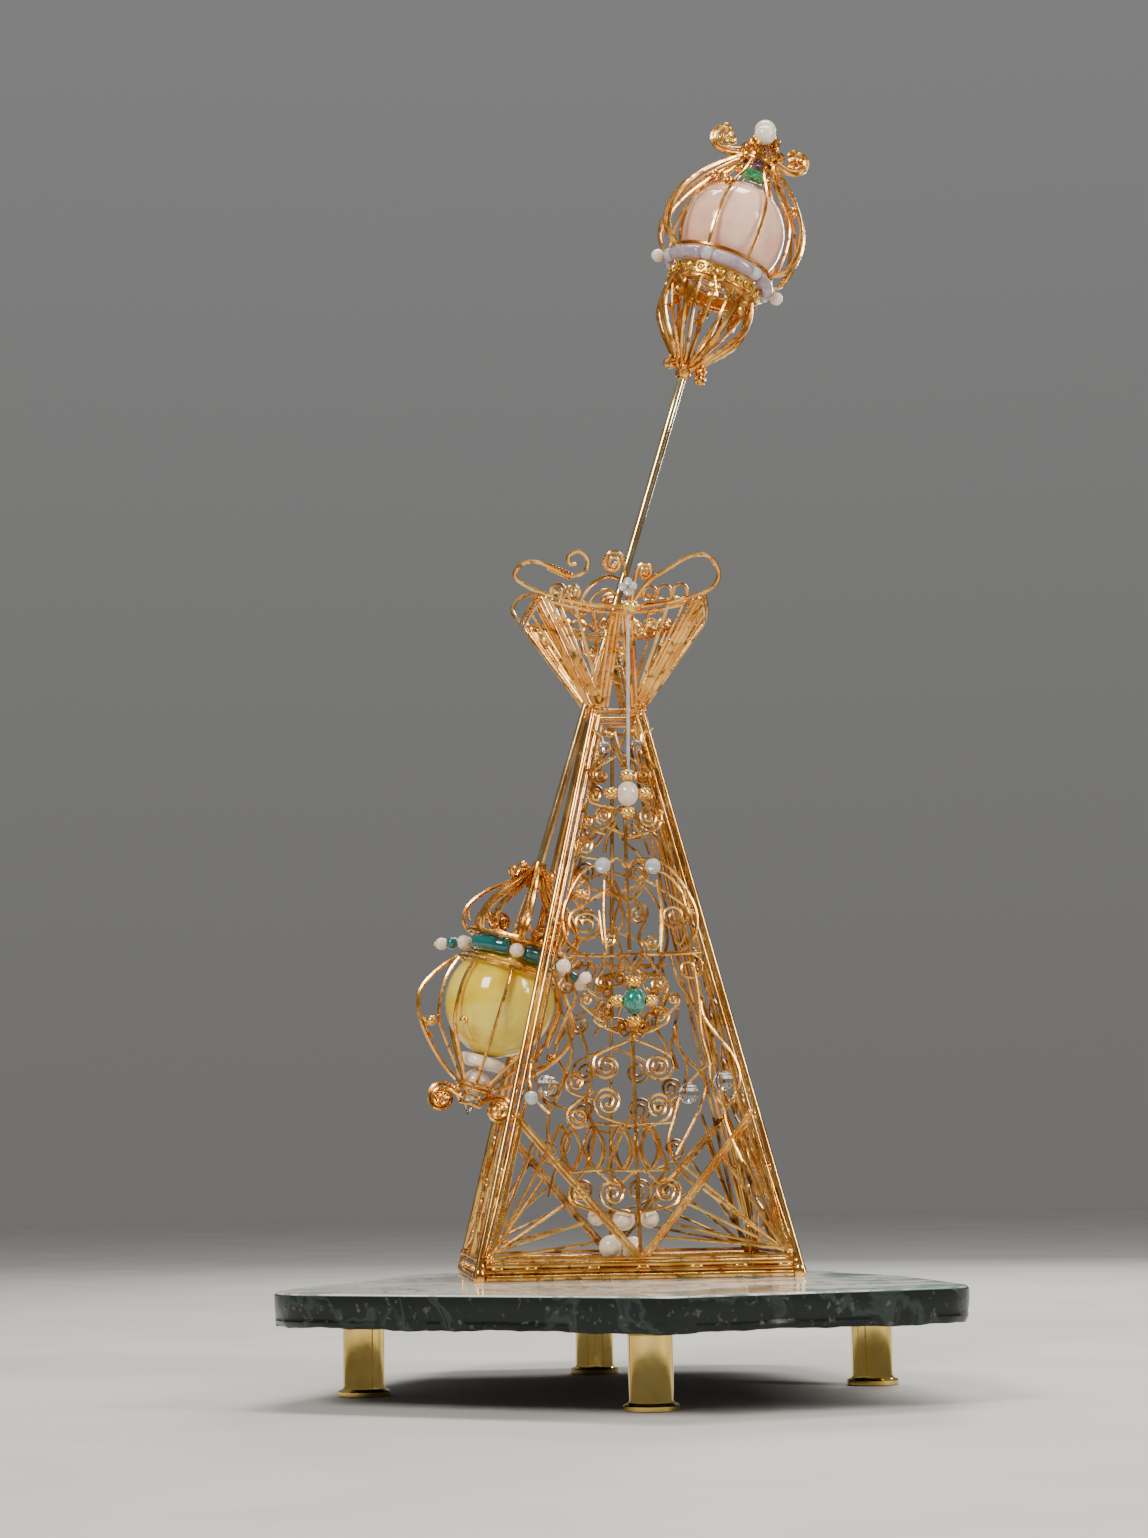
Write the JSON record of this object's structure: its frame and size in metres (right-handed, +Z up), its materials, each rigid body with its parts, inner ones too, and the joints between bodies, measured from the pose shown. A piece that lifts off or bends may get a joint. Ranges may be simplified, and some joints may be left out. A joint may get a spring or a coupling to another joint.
{
  "type": "sceptre",
  "caption": "Gilt wirework sceptre with a caged stone orb at each end, leaning in its own filigree wire tower on a polished stone slab with short brass feet.",
  "frame": {"origin": "centre of the bounding box in plan, at the underside of the feet", "axes": "+Z up and the longest extent; -Y is the tower's front face; +X is the side the sceptre's head leans toward"},
  "size_m": [0.309, 0.36, 0.674],
  "materials": {
    "polished_stone": "polished top, sawn dark edge with a cleft lower lip",
    "brass": "polished turned brass",
    "gilt_wire": "bright gilt wire, darker in the joins",
    "rose_quartz": "polished milky pink quartz",
    "calcite": "polished translucent yellow calcite",
    "malachite": "polished blue-green stone beads",
    "amethyst": "polished pale lavender stone beads",
    "pearl": "lustrous cream pearl",
    "crystal": "clear faceted crystal"
  },
  "bodies": {
    "root": {"stone_slab": "polished_stone", "foot_front": "brass", "foot_back": "brass", "foot_left": "brass", "foot_right": "brass", "post_front_left": "gilt_wire", "post_front_right": "gilt_wire", "post_back_left": "gilt_wire", "post_back_right": "gilt_wire", "base_rail_front": "gilt_wire", "base_rail_right": "gilt_wire", "base_rail_back": "gilt_wire", "base_rail_left": "gilt_wire", "waist_ring": "gilt_wire", "crown_front": "gilt_wire", "crown_right": "gilt_wire", "crown_back": "gilt_wire", "crown_left": "gilt_wire", "filigree_front": "gilt_wire", "filigree_right": "gilt_wire", "filigree_back": "gilt_wire", "brace_left_front": "gilt_wire", "brace_left_back": "gilt_wire", "rim_bead": "gilt_wire", "sceptre_rod": "gilt_wire", "pommel_shoulder": "gilt_wire", "pommel_cage": "gilt_wire", "pommel_scrolls": "gilt_wire", "head_cup": "gilt_wire", "head_band": "gilt_wire", "head_cage": "gilt_wire", "head_scrolls": "gilt_wire", "head_orb": "rose_quartz", "pommel_orb": "calcite", "malachite_cluster": "malachite", "pommel_bead_ring": "malachite", "head_green_bead": "malachite", "head_bead_ring": "amethyst", "head_mauve_bead": "amethyst", "moonstone_cluster": "pearl", "pearl_row": "pearl", "rail_pearls": "pearl", "pommel_washer": "pearl", "pommel_end_bead": "pearl", "head_finial_front": "pearl", "head_finial_back": "pearl", "front_needle": "crystal", "crystal_left": "crystal", "crystal_right": "crystal", "crystal_inner": "crystal", "crystal_upper_left": "crystal", "crystal_upper_right": "crystal", "pommel_tip": "crystal"}
  },
  "joints": []
}
